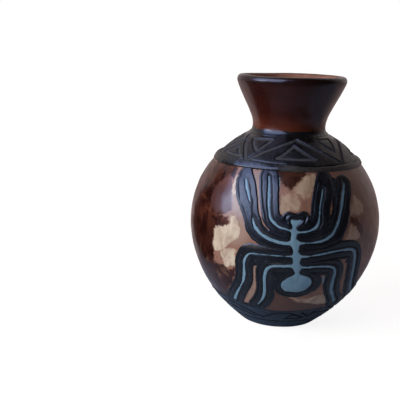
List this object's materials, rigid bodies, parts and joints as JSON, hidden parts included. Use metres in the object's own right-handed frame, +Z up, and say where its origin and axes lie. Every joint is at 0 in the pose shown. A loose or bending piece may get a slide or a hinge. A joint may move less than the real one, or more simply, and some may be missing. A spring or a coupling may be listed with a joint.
{
  "type": "globular ceramic vase",
  "caption": "Round burnished clay vase with a flared neck, a rounded lip, carved dark bands at shoulder and foot, and a slip-painted spider on the belly.",
  "frame": {"origin": "centre of the foot's resting face, on the vessel's axis", "axes": "+Z up along the vessel's axis; the painted spider faces -Y; +X to the viewer's right"},
  "size_m": [0.1644, 0.1651, 0.215],
  "materials": {
    "burnished_clay": "burnished earthenware, clouded brown and cream",
    "dark_burnished_clay": "burnished dark red-brown slip",
    "luting_slip": "fired joining slip",
    "black_slip": "burnished black slip",
    "blue_slip": "pale slate-blue slip"
  },
  "bodies": {
    "root": {"foot_slab": "burnished_clay", "foot_luting_ring": "luting_slip", "lower_bowl": "burnished_clay", "bowl_luting_ring": "luting_slip", "upper_bowl": "burnished_clay", "neck_luting_ring": "luting_slip", "neck_collar": "dark_burnished_clay", "rim_luting_ring": "luting_slip", "rim_coil": "dark_burnished_clay", "shoulder_band_slip": "black_slip", "foot_band_slip": "black_slip", "spider_outline_slip": "black_slip", "spider_fill_slip": "blue_slip"}
  },
  "joints": []
}
